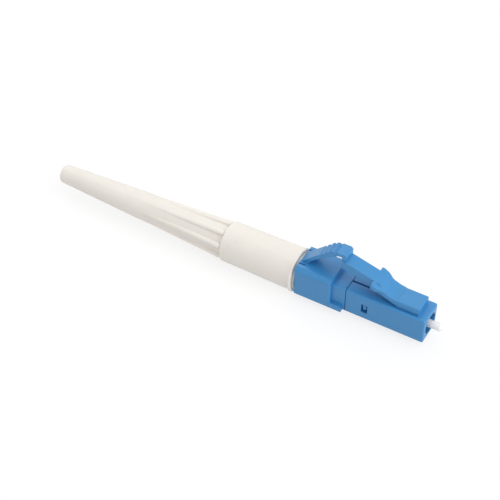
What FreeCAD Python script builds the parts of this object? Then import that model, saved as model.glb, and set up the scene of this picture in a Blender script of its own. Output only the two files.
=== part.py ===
import FreeCAD, Part
import math
import os
import re
import Sketcher

# Splice-on fibre connector, small duplex-size plug with a long boot. Millimetres.
# X runs along the ferrule axis and out of the nose, Z is up through the latch.
# The origin is on the axis, in the front face of the plug housing.

doc = FreeCAD.newDocument("splice_on_connector")

# Driving sizes: name, value, what it measures.
SIZES = (
    ("plug_side", 4.6, "side of the square plug housing and of the neck behind it"),
    ("plug_length", 13.0, "front face to rear face of the plug housing"),
    ("plug_round", 0.32, "round along the long edges of housing and neck"),
    ("nose_round", 0.3, "round of the front edges of the housing"),
    ("nose_bore", 3.4, "opening round the ferrule, diameter"),
    ("nose_depth", 3.4, "depth of that opening"),
    ("seat_wall", 0.9, "wall the flange is pressed against"),
    ("seat_bore", 1.95, "hole in that wall, diameter"),
    ("chamber_bore", 3.6, "bore for flange and spigot, diameter"),
    ("window_inset", 3.7, "rear face of the housing to the front of the snap windows"),
    ("window_length", 1.05, "length of a snap window"),
    ("window_top", 0.7, "top of a snap window above the axis"),
    ("window_low", 0.97, "bottom of a snap window below the axis"),
    ("slit_width", 0.32, "slit in the top of the housing"),
    ("slit_length", 3.0, "length of the slit from the rear edge"),
    ("root_front", 1.35, "front face to the root of the latch"),
    ("root_rear", 5.0, "front face to the end of the fixed root"),
    ("root_top", 3.62, "top of the latch root above the axis"),
    ("root_width", 3.36, "width of the latch root and of the arm"),
    ("root_web", 3.16, "width of the web under the root"),
    ("root_step", 0.18, "height of that web"),
    ("root_lip", 0.24, "thickness of the full-height lip in front"),
    ("root_round", 0.18, "round of the top edges of the root"),
    ("flex_gap", 0.015, "gap at the two bending lines"),
    ("arm_root", 1.05, "thickness of the latch arm at its root"),
    ("arm_flat", 0.6, "level length of the arm behind the root"),
    ("arm_ease", 3.0, "radius in which the arm leaves that level"),
    ("arm_bend_x", 7.0, "front face to the first bend of the arm"),
    ("bend_rise", 0.54, "rise of the arm from its root to the first bend"),
    ("arm_sweep", 1.5, "radius of the first bend"),
    ("crest_run", 1.2, "first to second bend, along the axis"),
    ("crest_rise", 1.03, "first to second bend, upward"),
    ("crest_round", 0.5, "radius of the second bend"),
    ("step_run", 1.05, "second bend to the locking faces of the lugs"),
    ("arm_step", 1.25, "thickness of the arm at the locking faces"),
    ("arm_rise", 14.8, "slope of the tail of the arm, degrees"),
    ("arm_reach", 14.55, "front face to the end of the tail"),
    ("arm_tail", 1.6, "thickness of the tail at its end"),
    ("tail_width", 2.44, "width of the tail"),
    ("arm_round", 0.08, "round of the edges of the tail"),
    ("lug_start", 0.3, "first bend to the front of the lugs"),
    ("lug_slant", 1.15, "length of the slanted front of a lug"),
    ("lug_flat", 0.35, "length of the level top of a lug"),
    ("lug_bow", 0.6, "round between that and the slope in front of it"),
    ("lug_half", 2.2, "reach of a lug from the middle plane"),
    ("lug_drop", 0.1, "top of a lug below the top of the arm"),
    ("lug_height", 0.82, "height of a lug's locking face"),
    ("lug_round", 0.3, "round of the outer edges of a lug"),
    ("seam_gap", 0.09, "seam between housing and neck"),
    ("neck_length", 2.25, "length of the neck"),
    ("body_length", 6.17, "length of the wide part of the rear body"),
    ("body_half", 2.98, "half width of the wide part"),
    ("body_top", 3.3, "top of the wide part above the axis"),
    ("body_floor", 2.27, "bottom of the wide part below the axis"),
    ("body_round", 0.4, "round of its front corners"),
    ("body_soft", 0.2, "round of its lower long edges"),
    ("body_bevel", 0.59, "bevel of its upper long edges"),
    ("ledge_reach", 1.9, "reach of the bottom ledge under the neck"),
    ("ledge_top", 1.26, "top of the ledge below the axis"),
    ("ledge_round", 0.18, "round of the outer edges of the ledge"),
    ("spigot_od", 3.5, "spigot inside the housing, diameter"),
    ("spigot_over", 0.5, "reach of the spigot in front of the windows"),
    ("spigot_bevel", 0.2, "bevel at the tip of the spigot"),
    ("tab_play", 0.06, "play of a snap tab in its window, in front and above"),
    ("tab_back", 0.26, "room behind a snap tab"),
    ("tab_under", 0.54, "room under a snap tab"),
    ("tab_half", 2.12, "reach of a snap tab from the middle plane"),
    ("tab_ramp", 0.3, "length of the lead-in ramp of a tab"),
    ("tab_sink", 0.3, "depth of that ramp"),
    ("spring_pocket", 2.8, "pocket round the spring, diameter"),
    ("stop_inset", 1.5, "rear face of the housing to the wall behind the spring"),
    ("stop_bore", 1.9, "hole in that wall, diameter"),
    ("post_inset", 0.9, "rear face of the housing to the stop for the post"),
    ("post_small", 3.5, "front end of the post, diameter"),
    ("post_front", 1.7, "length of the front end of the post"),
    ("post_large", 4.4, "post in the wide part, diameter"),
    ("post_bore", 2.9, "bore of the post, diameter"),
    ("collar_od", 6.25, "collar of the post, diameter"),
    ("collar_width", 0.42, "width of the collar"),
    ("nipple_od", 4.2, "rear end of the post, diameter"),
    ("nipple_length", 6.2, "length of that end"),
    ("fit_push", 0.03, "radial gap of parts pushed together"),
    ("fit_end", 0.02, "gap between faces that meet"),
    ("trigger_width", 2.34, "width of the trigger"),
    ("trigger_foot", 3.15, "height of the rear end of the trigger"),
    ("trigger_root", 1.6, "fixed length of the plate at its foot"),
    ("trigger_toe", 1.3, "length of the trigger's foot on the body"),
    ("trigger_plate", 0.58, "thickness of the plate at its foot"),
    ("trigger_crown", 0.57, "thickness of the plate at the top of the bend"),
    ("trigger_bend", 2.92, "radius of the bend on top"),
    ("trigger_arch", 25.0, "radius of the underside of the plate"),
    ("trigger_flat", 1.34, "level length in front of the bend"),
    ("trigger_lap", 0.68, "reach of the nose over the end of the tail"),
    ("trigger_lift", 1.2018, "height of the nose"),
    ("trigger_pad", 0.72, "length of the pad that presses the tail"),
    ("trigger_clear", 0.09, "gap between pad and tail"),
    ("trigger_nose", 0.45, "round of the top front edge"),
    ("grip_first", 4.45, "foot to the first grip groove, along the plate"),
    ("grip_pitch", 1.02, "pitch of the grip grooves"),
    ("grip_width", 0.62, "width of a grip groove at the surface"),
    ("grip_floor", 0.14, "width of a grip groove at its bottom"),
    ("grip_depth", 0.2, "depth of a grip groove"),
    ("grip_over", 0.06, "overrun of the cut for a groove"),
    ("notch_front", 0.08, "rear face to the relief notches"),
    ("notch_wall", 0.34, "foot of the trigger to a relief notch"),
    ("notch_length", 1.1, "length of a relief notch"),
    ("notch_width", 0.24, "width of a relief notch"),
    ("notch_depth", 0.22, "depth of a relief notch"),
    ("ferrule_od", 1.25, "ferrule, diameter"),
    ("ferrule_out", 2.0, "reach of the ferrule in front of the housing"),
    ("ferrule_length", 6.7, "length of the ferrule"),
    ("ferrule_bevel", 0.28, "bevel at its tip"),
    ("ferrule_free", 5.3, "tip to the step at its rear end"),
    ("ferrule_shank", 0.94, "rear end in the flange, diameter"),
    ("flange_nose", 1.75, "sleeve of the flange round the ferrule, diameter"),
    ("flange_grip", 0.6, "length of that sleeve"),
    ("flange_flats", 2.77, "hexagon of the flange across its flats"),
    ("flange_length", 1.78, "length of the hexagon"),
    ("flange_tube", 1.6, "tube behind the hexagon, diameter"),
    ("flange_over", 0.5, "reach of the tube behind the housing"),
    ("flange_bore", 0.96, "bore for the fibre, diameter"),
    ("spring_od", 2.5, "coil spring, outer diameter"),
    ("spring_wire", 0.3, "wire of the spring, diameter"),
    ("spring_turns", 7.0, "turns of the spring"),
    ("stub_od", 0.9, "buffered fibre, diameter"),
    ("stub_length", 13.0, "length of the buffered fibre"),
    ("splice_inset", 1.15, "rear face of the housing to the splice tube"),
    ("splice_length", 19.0, "length of the splice tube"),
    ("splice_od", 2.1, "splice tube, outer diameter"),
    ("splice_bore", 1.75, "splice tube, inner diameter"),
    ("splice_drop", 0.25, "middle of the splice tube below the axis"),
    ("liner_od", 1.1, "melt liner, outer diameter"),
    ("liner_bore", 0.96, "melt liner, inner diameter"),
    ("liner_inset", 0.8, "liner and rod inside the ends of the tube"),
    ("rod_od", 0.48, "strength rod, diameter"),
    ("rod_gap", 0.02, "gap between rod and liner"),
    ("crimp_od", 4.9, "crimp sleeve, outer diameter"),
    ("crimp_inset", 0.7, "collar to the crimp sleeve"),
    ("crimp_length", 7.0, "length of the crimp sleeve"),
    ("boot_length", 45.3, "length of the boot"),
    ("boot_front", 3.48, "radius of the boot behind its lip"),
    ("boot_lip", 3.62, "radius of the lip"),
    ("boot_lip_width", 0.42, "width of the lip"),
    ("boot_lip_round", 0.18, "round of the lip"),
    ("boot_sleeve", 12.9, "front of the boot to its shoulder"),
    ("boot_shoulder", 3.33, "radius at the shoulder"),
    ("boot_shoulder_round", 0.14, "round of the shoulder"),
    ("boot_floor", 2.68, "radius between the ribs behind the shoulder"),
    ("boot_fade", 29.7, "front of the boot to where the ribs run out"),
    ("boot_fade_radius", 2.31, "radius there"),
    ("boot_tip", 1.6, "radius at the tail"),
    ("boot_tip_round", 0.45, "round of the tail"),
    ("boot_pocket", 9.0, "depth of the pocket for the crimp sleeve"),
    ("boot_room", 3.2, "room round the splice tube, diameter"),
    ("boot_room_depth", 14.6, "front of the boot to the end of that room"),
    ("boot_inlet", 2.2, "inlet for the cable, diameter"),
    ("boot_turn", 26.0, "turn of the boot on its axis, degrees"),
    ("rib_crest", 3.2, "radius over the ribs at the shoulder"),
    ("rib_radius", 0.43, "radius of a rib"),
    ("rib_gap", 0.12, "gap between shoulder and ribs"),
    ("rib_sink", 0.06, "depth of a rib's end below the surface"),
    ("rib_over", 1.5, "run of a rib below the surface at its end"),
    ("rib_count", 8.0, "number of ribs"),
)
# Overlap of joined features, overrun of cuts, and length of a cut right through.
JOIN = "0.3"
OVER = "0.5"
THROUGH = "plug_side * 4"
# Grip grooves across the trigger.
GRIPS = 4

sheet = doc.addObject("Spreadsheet::Sheet", "Sizes")
for row, (alias, size, meaning) in enumerate(SIZES, start=1):
    sheet.set("A%d" % row, meaning)
    sheet.set("B%d" % row, repr(size))
    sheet.setAlias("B%d" % row, alias)
doc.recompute()

# Places that follow from the sizes. Those along the axis are X values.
PLACES = {
    "half": "plug_side / 2",
    "seat_rear": "-(nose_depth + seat_wall)",
    "window_front": "plug_length - window_inset",
    "spigot_front": "window_front - spigot_over",
    "spring_stop": "plug_length - stop_inset",
    "post_stop": "plug_length + post_inset",
    "post_step": "post_stop + post_front",
    "flange_end": "plug_length + flange_over",
    "splice_front": "plug_length + splice_inset",
    "neck_front": "-(plug_length + seam_gap)",
    "body_front": "neck_front - neck_length",
    "body_rear": "body_front - body_length",
    "collar_front": "body_rear - fit_end",
    "collar_rear": "collar_front - collar_width",
    "boot_x": "collar_rear - fit_end",
    "arm_front": "-(root_rear + flex_gap)",
    "arm_under": "root_top - arm_root",
    "arm_bend_z": "root_top + bend_rise",
    "arm_crest_x": "arm_bend_x + crest_run",
    "arm_crest_z": "arm_bend_z + crest_rise",
    "arm_step_x": "arm_crest_x + step_run",
    "arm_step_z": "arm_crest_z + (arm_step_x - arm_crest_x) * tan(arm_rise)",
    "arm_end_z": "arm_crest_z + (arm_reach - arm_crest_x) * tan(arm_rise)",
    "lug_front": "arm_bend_x + lug_start",
    "lug_front_z": "arm_bend_z + lug_start * crest_rise / crest_run",
    "lug_top": "arm_step_z - lug_drop",
    "trigger_rise": "atan((hub_z - trigger_foot) / (hub_x - body_rear)) + asin(trigger_bend / hub_far)",
    "trigger_run": "sqrt(hub_far ^ 2 - trigger_bend ^ 2)",
    "trigger_cos": "cos(trigger_rise)",
    "trigger_sin": "sin(trigger_rise)",
    "foot_top_x": "body_rear + trigger_root * trigger_cos",
    "foot_top_z": "trigger_foot + trigger_root * trigger_sin",
    "foot_low_x": "foot_top_x + trigger_plate * trigger_sin",
    "foot_low_z": "foot_top_z - trigger_plate * trigger_cos",
    "bend_x": "body_rear + trigger_run * trigger_cos",
    "bend_z": "trigger_foot + trigger_run * trigger_sin",
    "hub_x": "pad_x - trigger_flat",
    "hub_z": "crown_z - trigger_bend",
    "hub_far": "sqrt((hub_x - body_rear) ^ 2 + (hub_z - trigger_foot) ^ 2)",
    "crown_z": "pad_z + trigger_lift",
    "pad_x": "trigger_lap - arm_reach",
    "pad_z": "arm_crest_z + (-pad_x - arm_crest_x) * tan(arm_rise) + trigger_clear",
    "heel_x": "pad_x - trigger_pad",
    "heel_z": "pad_z + trigger_pad * tan(arm_rise)",
    "under_z": "crown_z - trigger_crown",
    "flange_front": "seat_rear - fit_end",
    "flange_rear": "flange_front - flange_length",
    "spring_front": "flange_rear - fit_end",
    "spring_length": "spring_front + spring_stop - fit_end",
    "rod_z": "-(liner_od / 2 + rod_gap + rod_od / 2)",
    "rib_start": "boot_sleeve + rib_gap + rib_radius",
    "rib_end": "boot_fade + rib_over",
    "tail_slope": "(boot_fade_radius - boot_tip) / (boot_length - boot_fade)",
    "rib_start_r": "rib_crest - rib_radius",
    "rib_end_r": "boot_fade_radius - rib_over * tail_slope - rib_radius - rib_sink",
    "rib_tilt": "atan((rib_start_r - rib_end_r) / (rib_end - rib_start))",
}
ALIASES = {alias for alias, _, _ in SIZES}
WORD = re.compile(r"[a-z_][a-z0-9_]*")


def plain(text):
    """Text of an expression with every place written out in sizes."""
    return WORD.sub(lambda m: "(%s)" % plain(PLACES[m[0]]) if m[0] in PLACES else m[0], text)


def bound(text):
    """The same expression as an object outside the sheet reads it."""
    return WORD.sub(lambda m: "Sizes." + m[0] if m[0] in ALIASES else m[0], plain(text))


def value(text):
    return float(sheet.evalExpression(plain(text)))


def new_body(name, x="0", z="0"):
    body = doc.addObject("PartDesign::Body", name)
    body.Label = name
    body.setExpression("Placement.Base.x", bound(x))
    body.setExpression("Placement.Base.z", bound(z))
    return body


def datum(body, role):
    return next(f for f in body.Origin.OriginFeatures if f.Role == role)


def arc_between(start, end, radius):
    """Arc that bulges to the left of start to end, or to the right for a negative radius."""
    chord = end - start
    half = chord.Length / 2
    sag = abs(radius) - math.sqrt(radius * radius - half * half)
    left = FreeCAD.Vector(-chord.y, chord.x, 0).normalize()
    middle = (start + end) / 2 + left * math.copysign(sag, radius)
    return Part.Arc(start, middle, end)


def drive(sketch, kind, geo, spot, text):
    """Dimension bound to the sheet, on a point or (spot None) on a whole curve."""
    size = value(text)
    args = (kind, geo, size) if spot is None else (kind, geo, spot, size)
    number = sketch.addConstraint(Sketcher.Constraint(*args))
    sketch.setExpression("Constraints[%d]" % number, bound(text))


def loop(sketch, points):
    """Closed line through points of two texts. A third text makes the way on an arc of that radius."""
    spots = [FreeCAD.Vector(value(p[0]), value(p[1]), 0) for p in points]
    ends = []
    for k, point in enumerate(points):
        start, end = spots[k], spots[(k + 1) % len(spots)]
        if len(point) == 2:
            ends.append((sketch.addGeometry(Part.LineSegment(start, end), False), 1))
            continue
        geo = sketch.addGeometry(arc_between(start, end, value(point[2])), False)
        ends.append((geo, 1 if sketch.getPoint(geo, 1).isEqual(start, 1e-6) else 2))
    for k, (geo, first) in enumerate(ends):
        following = ends[(k + 1) % len(ends)]
        sketch.addConstraint(Sketcher.Constraint("Coincident", geo, 3 - first, *following))
        drive(sketch, "DistanceX", geo, first, points[k][0])
        drive(sketch, "DistanceY", geo, first, points[k][1])
        if len(points[k]) == 3:
            drive(sketch, "Radius", geo, None, "abs(%s)" % points[k][2])


def sketched(body, name, plane, *loops, offset="0"):
    sketch = body.newObject("Sketcher::SketchObject", name)
    sketch.AttachmentSupport = [(datum(body, plane), "")]
    sketch.MapMode = "FlatFace"
    sketch.setExpression("AttachmentOffset.Base.z", bound(offset))
    for points in loops:
        loop(sketch, points)
    return sketch


def settled(body, feature, grows):
    """The feature, once it is known to have added or taken away material."""
    base = feature.BaseFeature
    before = base.Shape.Volume if base else 0.0
    doc.recompute()
    if (feature.Shape.Volume > before) != grows:
        raise RuntimeError("%s of %s works the wrong way" % (feature.Name, body.Label))
    return feature


def pad(body, name, sketch, length, backward=False):
    """Pad on both sides of the sketch, or backward along its normal only."""
    feature = body.newObject("PartDesign::Pad", name)
    feature.Profile = sketch
    feature.setExpression("Length", bound(length))
    if backward:
        feature.Reversed = True
    else:
        feature.SideType = "Symmetric"
    return settled(body, feature, True)


def pocket(body, name, sketch, length):
    feature = body.newObject("PartDesign::Pocket", name)
    feature.Profile = sketch
    feature.setExpression("Length", bound(length))
    feature.SideType = "Symmetric"
    return settled(body, feature, False)


def turned(body, name, points, cut=False):
    """Turn an outline of X and radius about the axis, to add it or to cut it."""
    sketch = sketched(body, name + "_outline", "XZ_Plane", points)
    kind = "PartDesign::Groove" if cut else "PartDesign::Revolution"
    feature = body.newObject(kind, name)
    feature.Profile = sketch
    feature.ReferenceAxis = (sketch, ["H_Axis"])
    feature.Angle = 360
    return settled(body, feature, not cut)


def dressed(body, name, size, pick, kind="Fillet"):
    """Round or bevel the edges whose box passes the test."""
    base = body.Tip
    names = ["Edge%d" % n for n, e in enumerate(base.Shape.Edges, start=1) if pick(e.BoundBox)]
    feature = body.newObject("PartDesign::" + kind, name)
    feature.Base = (base, names)
    feature.setExpression("Radius" if kind == "Fillet" else "Size", bound(size))
    doc.recompute()
    return feature


def near(a, text):
    return abs(a - value(text)) < 1e-4


def along_x(box):
    return box.YLength < 1e-4 and box.ZLength < 1e-4 and box.XLength > 1e-3


def at_side(box, reach):
    """Edge in one of the two upright planes that far from the middle plane."""
    return box.YLength < 1e-4 and near(abs(box.YMin), reach)


def box_points(x0, x1, z0, z1):
    return [(x0, z0), (x1, z0), (x1, z1), (x0, z1)]


def soft_square(side, radius):
    """Square with round corners, centred."""
    far, near_by = "%s / 2" % side, "(%s / 2 - %s)" % (side, radius)
    return [
        (near_by, "-" + far, "-" + radius), (far, "-" + near_by),
        (far, near_by, "-" + radius), (near_by, far),
        ("-" + near_by, far, "-" + radius), ("-" + far, near_by),
        ("-" + far, "-" + near_by, "-" + radius), ("-" + near_by, "-" + far),
    ]


def ring(body, name, outer, inner, length):
    """Plain tube from the body's own origin backward."""
    r1, r0 = outer + " / 2", inner + " / 2"
    return turned(body, name, [("0", r0), ("0", r1), ("-(%s)" % length, r1), ("-(%s)" % length, r0)])


def make_front_housing():
    body = new_body("front_housing")
    square = sketched(body, "plug_square", "YZ_Plane", soft_square("plug_side", "plug_round"))
    pad(body, "plug_block", square, "plug_length", backward=True)
    dressed(body, "nose_edges", "nose_round", lambda b: near(b.XMin, "0") and near(b.XMax, "0"))
    step = "half + root_step"
    web = box_points("-root_front", "-root_rear", "half - " + JOIN, step + " + " + JOIN)
    pad(body, "root_web_block", sketched(body, "root_web_side", "XZ_Plane", web), "root_web")
    lip = box_points("-root_front", "-(root_front + root_lip)", "half - " + JOIN, "root_top")
    pad(body, "root_lip_block", sketched(body, "root_lip_side", "XZ_Plane", lip), "root_width")
    cap = box_points("-root_front", "-root_rear", step, "root_top")
    pad(body, "root_cap_block", sketched(body, "root_cap_side", "XZ_Plane", cap), "root_width")
    dressed(body, "root_edges", "root_round", lambda b: (
        near(b.ZMin, "root_top") and near(b.ZMax, "root_top") and not near(b.XMax, "-root_rear")))
    turned(body, "bores", [
        (OVER, "0"), (OVER, "nose_bore / 2"), ("-nose_depth", "nose_bore / 2"),
        ("-nose_depth", "seat_bore / 2"), ("seat_rear", "seat_bore / 2"),
        ("seat_rear", "chamber_bore / 2"), ("-(plug_length + %s)" % OVER, "chamber_bore / 2"),
        ("-(plug_length + %s)" % OVER, "0")], cut=True)
    window = box_points("-window_front", "-(window_front + window_length)",
                        "-window_low", "window_top")
    pocket(body, "windows", sketched(body, "window_side", "XZ_Plane", window), THROUGH)
    slit = box_points("-(plug_length - slit_length)", "-(plug_length + %s)" % OVER,
                      "half / 2", "half + " + OVER)
    pocket(body, "slit", sketched(body, "slit_side", "XZ_Plane", slit), "slit_width")
    return body


def make_latch_lever():
    body = new_body("latch_lever")
    under_step = "arm_step_z - arm_step"
    front = [
        ("arm_front", "arm_under"), ("-arm_step_x", under_step),
        ("-arm_step_x", "lug_top - lug_height / 2"), ("-lug_front", "lug_front_z"),
        ("-arm_bend_x", "arm_bend_z"),
        ("-(root_rear + arm_flat)", "root_top"), ("arm_front", "root_top")]
    pad(body, "arm_block", sketched(body, "arm_side", "XZ_Plane", front), "root_width")
    dressed(body, "root_bend", "arm_ease", lambda b: (
        near(b.XMin, "-(root_rear + arm_flat)") and near(b.XMax, "-(root_rear + arm_flat)")
        and b.YLength > value("arm_round")))
    dressed(body, "first_bend", "arm_sweep", lambda b: (
        near(b.XMin, "-arm_bend_x") and near(b.XMax, "-arm_bend_x") and b.YLength > value("arm_round")))
    tail = [
        ("-lug_front", "lug_front_z"), ("-arm_crest_x", "arm_crest_z"), ("-arm_reach", "arm_end_z"),
        ("-arm_reach", "arm_end_z - arm_tail"), ("-arm_step_x", under_step),
        ("-lug_front", "lug_front_z - lug_height / 2")]
    pad(body, "tail_block", sketched(body, "tail_side", "XZ_Plane", tail), "tail_width")
    dressed(body, "second_bend", "crest_round", lambda b: (
        near(b.XMin, "-arm_crest_x") and near(b.XMax, "-arm_crest_x") and near(b.ZMin, "arm_crest_z")))
    lugs = [
        ("-lug_front", "lug_front_z - lug_height / 2"), ("-arm_step_x", "lug_top - lug_height"),
        ("-arm_step_x", "lug_top"), ("lug_flat - arm_step_x", "lug_top"), ("-lug_front", "lug_front_z")]
    pad(body, "lug_block", sketched(body, "lug_side", "XZ_Plane", lugs), "lug_half * 2")
    dressed(body, "lug_tops", "lug_bow", lambda b: (
        near(b.XMin, "lug_flat - arm_step_x") and near(b.XMax, "lug_flat - arm_step_x")
        and near(b.ZMin, "lug_top") and near(b.ZMax, "lug_top")))
    low_edge = value("lug_front_z - lug_height / 2 + arm_round")
    dressed(body, "lug_edges", "lug_round", lambda b: (
        at_side(b, "lug_half") and b.XLength > value("arm_round") and b.ZMin > low_edge))
    near_slant = [
        ("-(lug_front + lug_slant)", "lug_half"), ("-lug_front", "root_width / 2"),
        ("%s - lug_front" % OVER, "root_width / 2"), ("%s - lug_front" % OVER, "lug_half + " + OVER),
        ("-(lug_front + lug_slant)", "lug_half + " + OVER)]
    far_slant = [(x, "-(%s)" % y) for x, y in near_slant]
    slants = sketched(body, "slant_plan", "XY_Plane", near_slant, far_slant, offset="arm_bend_z")
    pocket(body, "lug_slants", slants, THROUGH)
    tail_top = value("arm_step_z - arm_round")
    dressed(body, "tail_edges", "arm_round", lambda b: (
        at_side(b, "tail_width / 2") and b.ZMax > tail_top
        or near(b.XMin, "-arm_reach") and near(b.XMax, "-arm_reach")))
    return body


def make_rear_body():
    body = new_body("rear_body")
    side = [
        ("body_rear", "-body_floor"), ("body_front + ledge_reach", "-body_floor"),
        ("body_front + ledge_reach", "-ledge_top"), ("body_front", "-ledge_top"),
        ("body_front", "body_top"), ("body_rear", "body_top")]
    pad(body, "wide_block", sketched(body, "wide_side", "XZ_Plane", side), "body_half * 2")
    dressed(body, "upper_edges", "body_bevel",
            lambda b: along_x(b) and near(b.ZMin, "body_top"), "Chamfer")
    dressed(body, "front_corners", "body_round", lambda b: (
        near(b.XMin, "body_front") and near(b.XMax, "body_front") and at_side(b, "body_half")))
    dressed(body, "ledge_edges", "ledge_round", lambda b: (
        along_x(b) and near(b.ZMin, "-ledge_top") and near(abs(b.YMin), "body_half")))
    dressed(body, "lower_edges", "body_soft", lambda b: along_x(b) and near(b.ZMin, "-body_floor"))
    square = sketched(body, "neck_square", "YZ_Plane", soft_square("plug_side", "plug_round"),
                      offset="neck_front")
    pad(body, "neck_block", square, "neck_length + " + JOIN, backward=True)
    tip = "-spigot_front"
    turned(body, "spigot", [
        (tip, "0"), (tip, "spigot_od / 2 - spigot_bevel"), (tip + " - spigot_bevel", "spigot_od / 2"),
        ("neck_front - " + JOIN, "spigot_od / 2"), ("neck_front - " + JOIN, "0")])
    rear = "-(window_front + window_length - tab_back)"
    front = "-(window_front + tab_play)"
    inner = "spigot_od / 2 - " + JOIN
    near_tab = [
        (rear, inner), (rear, "tab_half"), (front + " - tab_ramp", "tab_half"),
        (front, "tab_half - tab_sink"), (front, inner)]
    far_tab = [(x, "-(%s)" % y) for x, y in near_tab]
    tab_top, tab_low = "(window_top - tab_play)", "(tab_under - window_low)"
    tabs = sketched(body, "tab_plan", "XY_Plane", near_tab, far_tab,
                    offset="(%s + %s) / 2" % (tab_top, tab_low))
    pad(body, "snap_tabs", tabs, "%s - %s" % (tab_top, tab_low))
    foot = [
        ("body_rear", "body_top - " + JOIN), ("body_rear", "trigger_foot"),
        ("foot_top_x", "foot_top_z"), ("foot_low_x", "foot_low_z"),
        ("body_rear + trigger_toe", "body_top - " + JOIN)]
    pad(body, "trigger_foot_block", sketched(body, "foot_side", "XZ_Plane", foot), "trigger_width")
    inside = "(trigger_width / 2 + notch_wall)"
    outside = "(trigger_width / 2 + notch_wall + notch_width)"
    x0, x1 = "body_rear + notch_front", "body_rear + notch_front + notch_length"
    notches = sketched(body, "notch_plan", "XY_Plane", box_points(x0, x1, inside, outside),
                       box_points(x0, x1, "-" + inside, "-" + outside), offset="body_top")
    pocket(body, "relief_notches", notches, "notch_depth * 2")
    small, large = "post_small / 2 + fit_push", "post_large / 2 + fit_push"
    turned(body, "bores", [
        (tip + " + " + OVER, "0"), (tip + " + " + OVER, "spring_pocket / 2"),
        ("-spring_stop", "spring_pocket / 2"), ("-spring_stop", "stop_bore / 2"),
        ("-post_stop", "stop_bore / 2"), ("-post_stop", small), ("-post_step", small),
        ("-post_step", large), ("body_rear - " + OVER, large), ("body_rear - " + OVER, "0")], cut=True)
    return body


def grip_points(travel):
    """Corners of one grip groove, at a distance from the foot along the top of the trigger."""
    if value(travel) < value("trigger_run"):
        tilt = "trigger_rise"
        x = "body_rear + (%s) * trigger_cos" % travel
        z = "trigger_foot + (%s) * trigger_sin" % travel
    else:
        tilt = "(trigger_rise - (%s - trigger_run) / trigger_bend * 180 deg / pi)" % travel
        x = "hub_x - trigger_bend * sin(%s)" % tilt
        z = "hub_z + trigger_bend * cos(%s)" % tilt
    mouth = "(grip_width + (grip_width - grip_floor) * grip_over / grip_depth) / 2"
    corners = (("-" + mouth, "grip_over"), ("-grip_floor / 2", "-grip_depth"),
               ("grip_floor / 2", "-grip_depth"), (mouth, "grip_over"))
    return [("%s + (%s) * cos(%s) - (%s) * sin(%s)" % (x, u, tilt, v, tilt),
             "%s + (%s) * sin(%s) + (%s) * cos(%s)" % (z, u, tilt, v, tilt)) for u, v in corners]


def make_trigger_lever():
    body = new_body("trigger_lever")
    gap_x, gap_z = "flex_gap * trigger_cos", "flex_gap * trigger_sin"
    side = [
        ("foot_top_x + " + gap_x, "foot_top_z + " + gap_z), ("bend_x", "bend_z", "trigger_bend"),
        ("hub_x", "crown_z"), ("pad_x", "crown_z"), ("pad_x", "pad_z"), ("heel_x", "heel_z"),
        ("heel_x", "under_z"), ("hub_x", "under_z", "-trigger_arch"),
        ("foot_low_x + " + gap_x, "foot_low_z + " + gap_z)]
    pad(body, "trigger_block", sketched(body, "trigger_side", "XZ_Plane", side), "trigger_width")
    dressed(body, "trigger_nose_edge", "trigger_nose", lambda b: (
        near(b.ZMin, "crown_z") and near(b.ZMax, "crown_z") and near(b.XMin, "pad_x")))
    grooves = [grip_points("grip_first + grip_pitch * %d" % k) for k in range(GRIPS)]
    pocket(body, "grip_grooves", sketched(body, "grip_side", "XZ_Plane", *grooves), THROUGH)
    return body


def make_ferrule():
    body = new_body("ferrule", "ferrule_out")
    turned(body, "ferrule_pin", [
        ("0", "0"), ("0", "ferrule_od / 2 - ferrule_bevel"), ("-ferrule_bevel", "ferrule_od / 2"),
        ("-ferrule_free", "ferrule_od / 2"), ("-ferrule_free", "ferrule_shank / 2"),
        ("-ferrule_length", "ferrule_shank / 2"), ("-ferrule_length", "0")])
    return body


def make_ferrule_flange():
    body = new_body("ferrule_flange", "flange_front")
    flat = "flange_flats / 2"
    corner = "(flange_flats / 2 / cos(30))"
    hexagon = [
        (flat, "-%s / 2" % corner), (flat, corner + " / 2"), ("0", corner),
        ("-" + flat, corner + " / 2"), ("-" + flat, "-%s / 2" % corner), ("0", "-" + corner)]
    pad(body, "hexagon", sketched(body, "hexagon_plan", "YZ_Plane", hexagon), "flange_length",
        backward=True)
    turned(body, "sleeve", [
        ("flange_grip", "0"), ("flange_grip", "flange_nose / 2"), ("-" + JOIN, "flange_nose / 2"),
        ("-" + JOIN, "0")])
    end = "-(flange_end + flange_front)"
    turned(body, "tube", [
        ("-(flange_length - %s)" % JOIN, "0"), ("-(flange_length - %s)" % JOIN, "flange_tube / 2"),
        (end, "flange_tube / 2"), (end, "0")])
    seat = "ferrule_out - ferrule_length - flange_front - fit_end"
    wide = "ferrule_shank / 2 + fit_push"
    turned(body, "bores", [
        ("flange_grip + " + OVER, "0"), ("flange_grip + " + OVER, wide), (seat, wide),
        (seat, "flange_bore / 2"), (end + " - " + OVER, "flange_bore / 2"), (end + " - " + OVER, "0")],
        cut=True)
    return body


def make_coil_spring():
    body = new_body("coil_spring", "spring_front - spring_wire / 2")
    sketch = sketched(body, "wire_section", "XZ_Plane")
    circle = Part.Circle(FreeCAD.Vector(0, value("(spring_od - spring_wire) / 2"), 0),
                         FreeCAD.Vector(0, 0, 1), value("spring_wire / 2"))
    geo = sketch.addGeometry(circle, False)
    drive(sketch, "DistanceX", geo, 3, "0")
    drive(sketch, "DistanceY", geo, 3, "(spring_od - spring_wire) / 2")
    drive(sketch, "Radius", geo, None, "spring_wire / 2")
    coil = body.newObject("PartDesign::AdditiveHelix", "coil")
    coil.Profile = sketch
    coil.ReferenceAxis = (sketch, ["H_Axis"])
    coil.Mode = "height-turns-growth"
    coil.setExpression("Height", bound("spring_length - spring_wire"))
    coil.setExpression("Turns", bound("spring_turns"))
    coil.Reversed = True
    settled(body, coil, True)
    return body


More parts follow.
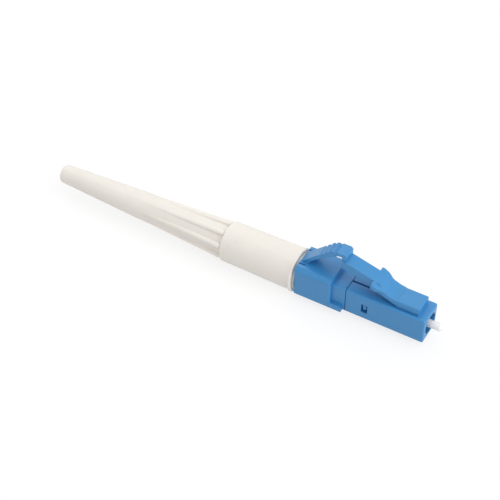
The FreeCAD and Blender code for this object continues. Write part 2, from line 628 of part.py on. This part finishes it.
def make_fibre_stub():
    body = new_body("fibre_stub", "ferrule_out - ferrule_length - fit_end * 2")
    turned(body, "buffered_fibre", [
        ("0", "0"), ("0", "stub_od / 2"), ("-stub_length", "stub_od / 2"), ("-stub_length", "0")])
    return body


def make_back_post():
    body = new_body("back_post", "-(post_stop + fit_end)")
    step = "post_stop + fit_end - post_step - fit_end"
    front, rear = "collar_front + post_stop + fit_end", "collar_rear + post_stop + fit_end"
    end = rear + " - nipple_length"
    bore = "post_bore / 2"
    turned(body, "post", [
        ("0", bore), ("0", "post_small / 2"), (step, "post_small / 2"), (step, "post_large / 2"),
        (front, "post_large / 2"), (front, "collar_od / 2"), (rear, "collar_od / 2"),
        (rear, "nipple_od / 2"), (end, "nipple_od / 2"), (end, bore)])
    return body


def make_crimp_sleeve():
    body = new_body("crimp_sleeve", "collar_rear - crimp_inset")
    ring(body, "sleeve", "crimp_od", "(nipple_od + fit_push * 2)", "crimp_length")
    return body


def make_splice_tube():
    body = new_body("splice_tube", "-splice_front", "-splice_drop")
    ring(body, "shrink_tube", "splice_od", "splice_bore", "splice_length")
    return body


def make_splice_liner():
    body = new_body("splice_liner", "-(splice_front + liner_inset)")
    ring(body, "liner", "liner_od", "liner_bore", "splice_length - liner_inset * 2")
    return body


def make_splice_rod():
    body = new_body("splice_rod", "-(splice_front + liner_inset)", "rod_z")
    length = "-(splice_length - liner_inset * 2)"
    turned(body, "rod", [("0", "0"), ("0", "rod_od / 2"), (length, "rod_od / 2"), (length, "0")])
    return body


def make_boot():
    body = new_body("boot", "boot_x")
    body.Placement.Rotation = FreeCAD.Rotation(FreeCAD.Vector(1, 0, 0), value("boot_turn"))
    body.setExpression("Placement.Rotation.Angle", bound("boot_turn"))
    pocket_r = "crimp_od / 2 + fit_push"
    lip = "-boot_lip_width"
    turned(body, "boot_shell", [
        ("0", pocket_r), ("0", "boot_lip - boot_lip_round", "-boot_lip_round"),
        ("-boot_lip_round", "boot_lip"), (lip, "boot_lip"), (lip, "boot_front"),
        ("-(boot_sleeve - boot_shoulder_round)", "boot_shoulder", "-boot_shoulder_round"),
        ("-boot_sleeve", "boot_shoulder - boot_shoulder_round"), ("-boot_sleeve", "boot_floor"),
        ("-boot_fade", "boot_fade_radius"),
        ("-(boot_length - boot_tip_round)", "boot_tip", "-boot_tip_round"),
        ("-boot_length", "boot_tip - boot_tip_round"), ("-boot_length", "boot_inlet / 2"),
        ("-boot_room_depth", "boot_inlet / 2"), ("-boot_room_depth", "boot_room / 2"),
        ("-boot_pocket", "boot_room / 2"), ("-boot_pocket", pocket_r)])
    run, rise = "rib_radius * cos(rib_tilt)", "rib_radius * sin(rib_tilt)"
    section = sketched(body, "rib_half", "XZ_Plane", [
        ("-rib_start + " + run, "rib_start_r + " + rise, "-rib_radius"),
        ("-rib_start - " + rise, "rib_start_r + " + run),
        ("-rib_end - " + rise, "rib_end_r + " + run), ("-rib_end", "rib_end_r")])
    rib = body.newObject("PartDesign::Revolution", "rib")
    rib.Profile = section
    rib.ReferenceAxis = (section, ["Edge4"])
    rib.Angle = 360
    settled(body, rib, True)
    ribs = body.newObject("PartDesign::PolarPattern", "ribs")
    ribs.Originals = [rib]
    ribs.Axis = (datum(body, "X_Axis"), [""])
    ribs.Angle = 360
    ribs.setExpression("Occurrences", bound("rib_count"))
    body.Tip = ribs
    settled(body, ribs, True)
    return body


PIECES = [
    make_front_housing(), make_latch_lever(), make_rear_body(), make_trigger_lever(), make_ferrule(),
    make_ferrule_flange(), make_fibre_stub(), make_coil_spring(), make_back_post(), make_crimp_sleeve(),
    make_splice_tube(), make_splice_liner(), make_splice_rod(), make_boot(),
]
doc.recompute()

for thing in doc.Objects:
    if "Invalid" in thing.State or "Error" in thing.State:
        raise RuntimeError("%s does not build" % thing.Name)
for piece in PIECES:
    shape = piece.Shape
    if shape.isNull() or not shape.isValid() or len(shape.Solids) != 1:
        raise RuntimeError("%s is not one sound solid" % piece.Label)

os.makedirs("parts", exist_ok=True)
for piece in PIECES:
    piece.Shape.exportStep("parts/%s.step" % piece.Label)
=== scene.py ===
import bpy
import math
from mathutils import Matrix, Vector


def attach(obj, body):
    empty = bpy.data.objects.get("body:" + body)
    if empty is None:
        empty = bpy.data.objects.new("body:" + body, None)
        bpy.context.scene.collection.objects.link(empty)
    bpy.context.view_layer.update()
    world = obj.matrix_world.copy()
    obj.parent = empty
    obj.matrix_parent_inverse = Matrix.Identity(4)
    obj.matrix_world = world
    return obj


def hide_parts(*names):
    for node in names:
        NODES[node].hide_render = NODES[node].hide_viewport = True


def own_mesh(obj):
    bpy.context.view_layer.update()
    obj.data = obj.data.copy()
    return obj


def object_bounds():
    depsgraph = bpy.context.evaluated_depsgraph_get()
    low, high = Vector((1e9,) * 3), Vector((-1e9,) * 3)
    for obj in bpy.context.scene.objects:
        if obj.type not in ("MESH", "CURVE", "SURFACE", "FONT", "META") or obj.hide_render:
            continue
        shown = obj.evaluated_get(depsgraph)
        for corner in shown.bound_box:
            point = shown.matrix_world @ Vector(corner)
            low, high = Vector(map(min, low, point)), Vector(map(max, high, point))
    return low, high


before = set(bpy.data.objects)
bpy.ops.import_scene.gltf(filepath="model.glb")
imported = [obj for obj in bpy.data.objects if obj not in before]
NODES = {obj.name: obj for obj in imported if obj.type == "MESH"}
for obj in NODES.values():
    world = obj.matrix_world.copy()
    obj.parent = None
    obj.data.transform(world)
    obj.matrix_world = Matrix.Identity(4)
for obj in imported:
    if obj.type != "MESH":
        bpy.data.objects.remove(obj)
cad_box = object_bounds()

MM = 0.001


# Colours and nodes

def linear(code):
    """Linear colour of an sRGB hex code."""
    channels = []
    for start in (0, 2, 4):
        value = int(code[start:start + 2], 16) / 255
        channels.append(value / 12.92 if value <= 0.04045 else ((value + 0.055) / 1.055) ** 2.4)
    return (*channels, 1.0)


def add(tree, kind, settings=None, **values):
    """One node with its settings. A value goes to the input of that name, or of that number after an i.

    An output given as a value is linked, and a node given as a value is linked by its first output.
    """
    node = tree.nodes.new(kind)
    for name, value in (settings or {}).items():
        setattr(node, name, value)
    for name, value in values.items():
        by_number = name[0] == "i" and name[1:].isdigit()
        socket = node.inputs[int(name[1:]) if by_number else name.replace("_", " ")]
        if isinstance(value, bpy.types.Node):
            value = value.outputs[0]
        if isinstance(value, bpy.types.NodeSocket):
            tree.links.new(value, socket)
        else:
            socket.default_value = value
    return node


def new_material(name):
    """Material with an empty tree, and that tree."""
    material = bpy.data.materials.new(name)
    material.use_nodes = True
    material.node_tree.nodes.clear()
    return material, material.node_tree


def in_millimetres(tree):
    """The piece's own coordinates, in millimetres."""
    place = add(tree, "ShaderNodeTexCoord").outputs["Object"]
    return add(tree, "ShaderNodeVectorMath", {"operation": "SCALE"}, i0=place, Scale=1 / MM).outputs[0]


def surface(tree, **values):
    """The material's one shader with its values, joined to the output."""
    shader = add(tree, "ShaderNodeBsdfPrincipled", **values)
    add(tree, "ShaderNodeOutputMaterial", Surface=shader)


def clouded(tree, place, size, codes):
    """Colour that drifts between two codes, over that many millimetres."""
    noise = add(tree, "ShaderNodeTexNoise", Vector=place, Scale=1 / size, Detail=2.0)
    tone = add(tree, "ShaderNodeMix", {"data_type": "RGBA"}, Factor=noise,
               i6=linear(codes[0]), i7=linear(codes[1]))
    return tone.outputs[2]


def uneven_gloss(tree, place, size, low, high):
    """Roughness that wanders between two values, over that many millimetres."""
    noise = add(tree, "ShaderNodeTexNoise", Vector=place, Scale=1 / size, Detail=2.0)
    return add(tree, "ShaderNodeMapRange", Value=noise, To_Min=low, To_Max=high)


def grain(tree, place, size, height):
    """Moulded bumps of that size and height, in millimetres: coarser than real ones, so that they show."""
    noise = add(tree, "ShaderNodeTexNoise", Vector=place, Scale=1 / size, Detail=3.0)
    return add(tree, "ShaderNodeBump", Height=noise, Strength=1.0, Distance=height * MM)


# Blue mouldings

# Radius of the softened edges, and reach and colour of the shade painted deep blue into gaps and crevices,
# in millimetres.
EDGE_ROUND = 0.18
PAINTED_SHADE_REACH = 0.5
# Painted shade: the blue goes this dark in gaps and crevices, where shade falls.
PAINTED_SHADE_TONE = "2A78BC"
# Rays that edges and the painted gap shade are found with.
EDGE_RAYS = {"samples": 8}
# Bending lines of latch and trigger: direction across the line, its place along that direction, and
# the height above which it counts, in millimetres. The moulding has no edge there.
BENDING_LINES = (((1.0, 0.0, 0.0), -5.0, 2.6), ((0.729, 0.0, 0.6845), -11.925, 3.4))
BENDING_REACH = 0.25


def edge_round(tree, place):
    """Radius of the softened edges, in metres: none at the bending lines."""
    height = add(tree, "ShaderNodeSeparateXYZ", Vector=place).outputs["Z"]
    radius = EDGE_ROUND * MM
    for across, spot, low in BENDING_LINES:
        along = add(tree, "ShaderNodeVectorMath", {"operation": "DOT_PRODUCT"}, i0=place, i1=across)
        off = add(tree, "ShaderNodeMath", {"operation": "SUBTRACT"}, i0=along.outputs["Value"], i1=spot)
        far = add(tree, "ShaderNodeMath", {"operation": "ABSOLUTE"}, i0=off)
        clear = add(tree, "ShaderNodeMath", {"operation": "GREATER_THAN"}, i0=far, i1=BENDING_REACH)
        below = add(tree, "ShaderNodeMath", {"operation": "LESS_THAN"}, i0=height, i1=low)
        either = add(tree, "ShaderNodeMath", {"operation": "MAXIMUM"}, i0=clear, i1=below)
        radius = add(tree, "ShaderNodeMath", {"operation": "MULTIPLY"}, i0=either, i1=radius)
    return radius


def blue_plastic():
    """Injection-moulded PBT: satin and a little cloudy, with light on its soft edges, and shade painted deep
    blue into its gaps.
    """
    material, tree = new_material("moulded_pbt_blue")
    place = in_millimetres(tree)
    open_tone = clouded(tree, place, size=2.5, codes=("3485BF", "3989C3"))
    # Painted shade: the colour darkens towards the shade tone where other surfaces are near.
    painted_gap_shade = add(tree, "ShaderNodeAmbientOcclusion", EDGE_RAYS, Distance=PAINTED_SHADE_REACH * MM)
    tone = add(tree, "ShaderNodeMix", {"data_type": "RGBA"}, Factor=painted_gap_shade.outputs["AO"],
               i6=linear(PAINTED_SHADE_TONE), i7=open_tone)
    bumps = grain(tree, place, size=0.25, height=0.004)
    edge = add(tree, "ShaderNodeBevel", EDGE_RAYS, Radius=edge_round(tree, place))
    tree.links.new(edge.outputs[0], bumps.inputs["Normal"])
    surface(tree, Base_Color=tone.outputs[2], IOR=1.55, Normal=bumps,
            Roughness=uneven_gloss(tree, place, size=0.8, low=0.33, high=0.43))
    return material


# White boot

# Faint specks in the boot: their places in millimetres. Each is full in its core and fades to its radius.
SPECKS = ((-32.37, -2.03, 2.67), (-33.52, -2.76, 1.89), (-26.45, 1.39, 3.13), (-51.41, -0.97, 2.1),
          (-49.15, 0.31, 2.34), (-43.69, -0.72, 2.37), (-45.79, -2.08, 1.26))
SPECK_RADIUS = 0.11
SPECK_CORE = SPECK_RADIUS / 3
SPECK_TONE = "CDC4B8"


def clean_of_specks(tree, place):
    """One on the clean surface, and nought in a speck."""
    clean = 1.0
    for spot in SPECKS:
        away = add(tree, "ShaderNodeVectorMath", {"operation": "DISTANCE"}, i0=place, i1=spot)
        outside = add(tree, "ShaderNodeMapRange", {"interpolation_type": "SMOOTHSTEP"},
                      Value=away.outputs["Value"], From_Min=SPECK_CORE, From_Max=SPECK_RADIUS)
        clean = add(tree, "ShaderNodeMath", {"operation": "MINIMUM"}, i0=outside, i1=clean)
    return clean


def white_boot():
    """Moulded thermoplastic elastomer: matte warm white, a little translucent, with a few faint specks."""
    material, tree = new_material("moulded_elastomer_white")
    place = in_millimetres(tree)
    clean_tone = clouded(tree, place, size=3.0, codes=("EBE6DE", "F0EBE4"))
    tone = add(tree, "ShaderNodeMix", {"data_type": "RGBA"}, Factor=clean_of_specks(tree, place),
               i6=linear(SPECK_TONE), i7=clean_tone)
    surface(tree, Base_Color=tone.outputs[2], Subsurface_Weight=0.5, Subsurface_Radius=(1.0, 0.92, 0.86),
            Subsurface_Scale=0.7 * MM, Normal=grain(tree, place, size=0.5, height=0.006),
            Roughness=uneven_gloss(tree, place, size=1.5, low=0.52, high=0.64))
    return material


# Ceramic, metals and tubes

# Radius of the bare fibre, in millimetres.
FIBRE_RADIUS = 0.0625
FIBRE_TONE = "5A6066"


def zirconia():
    """Polished zirconia: glossy cold white, a little translucent, the fibre a grey dot in its end face."""
    material, tree = new_material("polished_zirconia")
    place = in_millimetres(tree)
    ceramic_tone = clouded(tree, place, size=1.2, codes=("E9E9E7", "EDEDEC"))
    flat = add(tree, "ShaderNodeVectorMath", {"operation": "MULTIPLY"}, i0=place, i1=(0.0, 1.0, 1.0))
    off_axis = add(tree, "ShaderNodeVectorMath", {"operation": "LENGTH"}, i0=flat)
    outside = add(tree, "ShaderNodeMath", {"operation": "GREATER_THAN"},
                  i0=off_axis.outputs["Value"], i1=FIBRE_RADIUS)
    tone = add(tree, "ShaderNodeMix", {"data_type": "RGBA"}, Factor=outside,
               i6=linear(FIBRE_TONE), i7=ceramic_tone)
    surface(tree, Base_Color=tone.outputs[2], IOR=2.1, Roughness=0.2, Subsurface_Weight=0.5,
            Subsurface_Radius=(1.0, 1.0, 1.0), Subsurface_Scale=1.0 * MM)
    return material


def metal(name, codes, low, high):
    """Metal of two close tones, its roughness uneven from handling."""
    material, tree = new_material(name)
    place = in_millimetres(tree)
    surface(tree, Base_Color=clouded(tree, place, size=1.0, codes=codes), Metallic=1.0,
            Roughness=uneven_gloss(tree, place, size=0.4, low=low, high=high))
    return material


def clear_plastic(name, codes, clear):
    """Smooth plastic tube of two close tones, milky where it is not clear."""
    material, tree = new_material(name)
    surface(tree, Base_Color=clouded(tree, in_millimetres(tree), size=1.5, codes=codes), Roughness=0.25,
            Transmission_Weight=clear)
    return material


BLUE = blue_plastic()
# Turned and plated: a soft grey sheen without clear reflections.
NICKEL = metal("nickel_plated_brass", ("B0B0AC", "B8B8B4"), low=0.5, high=0.6)
# Drawn through a die: bright and smooth.
STEEL = metal("drawn_spring_steel", ("C0C2C4", "C8CACC"), low=0.26, high=0.36)
# Pressed from sheet: pale and satin.
ALUMINIUM = metal("pressed_aluminium", ("D8DADB", "DEE0E1"), low=0.3, high=0.42)
# Extruded over the fibre: opaque off-white.
BUFFER = clear_plastic("extruded_fibre_buffer", ("EBEBE6", "EFEFEA"), clear=0.0)
# Shrunk over the splice: nearly clear.
SHRINK_TUBE = clear_plastic("shrink_polyolefin", ("F2F4F4", "F6F8F8"), clear=0.7)
# Melted around the bare fibre: milky.
MELT_LINER = clear_plastic("melt_liner", ("F4F4F0", "F8F8F4"), clear=0.5)

LOOKS = {
    "front_housing": BLUE, "latch_lever": BLUE, "rear_body": BLUE, "trigger_lever": BLUE,
    "ferrule": zirconia(), "ferrule_flange": NICKEL, "back_post": NICKEL, "coil_spring": STEEL,
    "splice_rod": STEEL, "crimp_sleeve": ALUMINIUM, "fibre_stub": BUFFER, "splice_tube": SHRINK_TUBE,
    "splice_liner": MELT_LINER, "boot": white_boot(),
}
for piece, look in LOOKS.items():
    piece_mesh = NODES[piece].data
    piece_mesh.materials.clear()
    piece_mesh.materials.append(look)


# Spring behind the flange

SPRING_FRONT = -6.12 * MM
SPRING_LENGTH = 5.36 * MM
SPRING_TURNS = 7
SPRING_SIZES = {"Front": SPRING_FRONT, "Length": SPRING_LENGTH, "Diameter": 2.5 * MM, "Wire": 0.3 * MM,
                "Turns": SPRING_TURNS, "Closed turns": 1.0}
STEPS_PER_TURN = 48
WIRE_SIDES = 12
# How the middle of the wire runs: name, operation and two terms of each step. A term is a number, a size,
# an earlier step or the part of the wire's length that is behind, from 0 to 1.
WINDING = (
    ("turn", "MULTIPLY", "part", "Turns"),
    ("closed in all", "MULTIPLY", "Closed turns", 2.0),
    ("open in all", "SUBTRACT", "Turns", "closed in all"),
    ("wires laid", "ADD", "closed in all", 1.0),
    ("closed length", "MULTIPLY", "Wire", "wires laid"),
    ("open length", "SUBTRACT", "Length", "closed length"),
    ("pitch", "DIVIDE", "open length", "open in all"),
    ("after closed", "SUBTRACT", "turn", "Closed turns"),
    ("into open", "MAXIMUM", "after closed", 0.0),
    ("open so far", "MINIMUM", "into open", "open in all"),
    ("closed so far", "SUBTRACT", "turn", "open so far"),
    ("open run", "MULTIPLY", "open so far", "pitch"),
    ("closed run", "MULTIPLY", "closed so far", "Wire"),
    ("run", "ADD", "open run", "closed run"),
    ("half wire", "MULTIPLY", "Wire", 0.5),
    ("back", "ADD", "run", "half wire"),
    ("x", "SUBTRACT", "Front", "back"),
    ("across", "SUBTRACT", "Diameter", "Wire"),
    ("radius", "MULTIPLY", "across", 0.5),
    ("angle", "MULTIPLY", "turn", 2 * math.pi),
    ("cosine", "COSINE", "angle", 0.0),
    ("sine", "SINE", "angle", 0.0),
    ("y", "MULTIPLY", "radius", "cosine"),
    ("z", "MULTIPLY", "radius", "sine"),
)


def spring_tree():
    """Compression spring wound backward along the axis: end turns closed, the turns between evenly apart."""
    tree = bpy.data.node_groups.new("compression_spring", "GeometryNodeTree")
    for name in SPRING_SIZES:
        tree.interface.new_socket(name, in_out="INPUT", socket_type="NodeSocketFloat")
    tree.interface.new_socket("Material", in_out="INPUT", socket_type="NodeSocketMaterial")
    tree.interface.new_socket("Spring", in_out="OUTPUT", socket_type="NodeSocketGeometry")
    given = add(tree, "NodeGroupInput").outputs
    known = {name: given[name] for name in SPRING_SIZES}
    known["part"] = add(tree, "GeometryNodeSplineParameter").outputs["Factor"]
    for name, operation, a, b in WINDING:
        known[name] = add(tree, "ShaderNodeMath", {"operation": operation},
                          i0=known.get(a, a), i1=known.get(b, b))
    spot = add(tree, "ShaderNodeCombineXYZ", X=known["x"], Y=known["y"], Z=known["z"])
    line = add(tree, "GeometryNodeCurvePrimitiveLine")
    steps = add(tree, "GeometryNodeResampleCurve", Curve=line, Count=SPRING_TURNS * STEPS_PER_TURN + 1)
    helix = add(tree, "GeometryNodeSetPosition", Geometry=steps, Position=spot)
    section = add(tree, "GeometryNodeCurvePrimitiveCircle", Resolution=WIRE_SIDES, Radius=known["half wire"])
    wound = add(tree, "GeometryNodeCurveToMesh", Curve=helix, Profile_Curve=section, Fill_Caps=True)
    real = add(tree, "GeometryNodeRealizeInstances", Geometry=wound)
    finished = add(tree, "GeometryNodeSetMaterial", Geometry=real, Material=given["Material"])
    add(tree, "NodeGroupOutput", Spring=finished)
    return tree


def add_spring():
    """The wound spring in place of the plain coil, fixed to the shell."""
    maker = bpy.data.objects.new("spring_maker", bpy.data.meshes.new("spring_maker"))
    bpy.context.scene.collection.objects.link(maker)
    winding = maker.modifiers.new("winding", "NODES")
    winding.node_group = spring_tree()
    for item in winding.node_group.interface.items_tree:
        if item.in_out == "INPUT":
            winding[item.identifier] = STEEL if item.name == "Material" else float(SPRING_SIZES[item.name])
    mesh = bpy.data.meshes.new_from_object(maker.evaluated_get(bpy.context.evaluated_depsgraph_get()))
    bpy.data.objects.remove(maker)
    mesh.shade_smooth()
    spring = bpy.data.objects.new("wound_spring", mesh)
    bpy.context.scene.collection.objects.link(spring)
    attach(spring, "shell")
    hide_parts("coil_spring")
    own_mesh(spring)


# Floor, light and camera

WHITE = "FFFFFF"
# The floor's tones where it is seen and where it only lights, its own glow, and its half width in metres.
FLOOR_SEEN = "7C7C7C"
FLOOR_UNSEEN = "E9E9E9"
FLOOR_GLOW = 0.8
FLOOR_REACH = 0.5
SKY_LIGHT = 0.58
# Soft boxes: place, edge and power, in metres and watts, and the point that they are turned to.
LAMPS = {"key": ((0.3, -0.04, 0.52), 0.6, 1.8),
         "back": ((-0.35, 0.25, 0.45), 0.5, 0.8),
         "front": ((0.5, -0.03, 0.06), 0.4, 1.0)}
MIDDLE = (-20 * MM, 0, 0)
# The camera's place in millimetres, how far it looks down and is turned in degrees, and its lens.
CAMERA_PLACE = (40.381, -121.504, 137.973)
CAMERA_DOWN = 44.419
CAMERA_TURN = 30.465
LENS = 90
SENSOR = 36
NEAREST_SEEN = 5 * MM


def seen_rays(tree):
    """One for what the camera sees, directly or in gloss and glass, and nought for what only lights."""
    path = add(tree, "ShaderNodeLightPath").outputs
    seen = path["Is Camera Ray"]
    for ray in ("Is Glossy Ray", "Is Transmission Ray"):
        seen = add(tree, "ShaderNodeMath", {"operation": "MAXIMUM"}, i0=seen, i1=path[ray])
    return seen


def floor_material():
    """White sweep. Where it is seen, most of its white is its own, so that the shadow on it stays faint."""
    material, tree = new_material("white_sweep")
    seen = seen_rays(tree)
    tone = add(tree, "ShaderNodeMix", {"data_type": "RGBA"}, Factor=seen,
               i6=linear(FLOOR_UNSEEN), i7=linear(FLOOR_SEEN))
    glow = add(tree, "ShaderNodeMath", {"operation": "MULTIPLY"}, i0=seen, i1=FLOOR_GLOW)
    surface(tree, Base_Color=tone.outputs[2], Roughness=0.9, Specular_IOR_Level=0.0,
            Emission_Color=linear(WHITE), Emission_Strength=glow)
    return material


def add_floor():
    """Flat floor under the lowest point of the part."""
    low = cad_box[0].z
    corners = [(x * FLOOR_REACH, y * FLOOR_REACH, low) for x, y in ((-1, -1), (1, -1), (1, 1), (-1, 1))]
    mesh = bpy.data.meshes.new("floor")
    mesh.from_pydata(corners, [], [(0, 1, 2, 3)])
    mesh.materials.append(floor_material())
    floor = bpy.data.objects.new("floor", mesh)
    bpy.context.scene.collection.objects.link(floor)


def add_light(name, place, size, power):
    """Square soft box, turned to the middle of the part."""
    data = bpy.data.lights.new(name, "AREA")
    data.size = size
    data.energy = power
    light = bpy.data.objects.new(name, data)
    light.location = place
    light.rotation_euler = (Vector(MIDDLE) - Vector(place)).to_track_quat("-Z", "Y").to_euler()
    bpy.context.scene.collection.objects.link(light)


def add_world():
    """White where it is seen, and soft light of less strength on everything else."""
    world = bpy.data.worlds.new("studio")
    world.use_nodes = True
    tree = world.node_tree
    back = tree.nodes["Background"]
    back.inputs["Color"].default_value = linear(WHITE)
    strength = add(tree, "ShaderNodeMapRange", Value=seen_rays(tree), To_Min=SKY_LIGHT, To_Max=1.0)
    tree.links.new(strength.outputs[0], back.inputs["Strength"])
    bpy.context.scene.world = world


def add_camera():
    """The photograph's view: long lens, from the right of the nose and above."""
    data = bpy.data.cameras.new("camera")
    data.lens = LENS
    data.sensor_width = SENSOR
    data.clip_start = NEAREST_SEEN
    camera = bpy.data.objects.new("camera", data)
    camera.location = [along * MM for along in CAMERA_PLACE]
    camera.rotation_euler = (math.radians(90 - CAMERA_DOWN), 0, math.radians(CAMERA_TURN))
    bpy.context.scene.collection.objects.link(camera)
    bpy.context.scene.camera = camera


add_spring()
add_floor()
add_world()
for lamp, values in LAMPS.items():
    add_light(lamp, *values)
add_camera()
bpy.context.scene.view_settings.view_transform = "Standard"
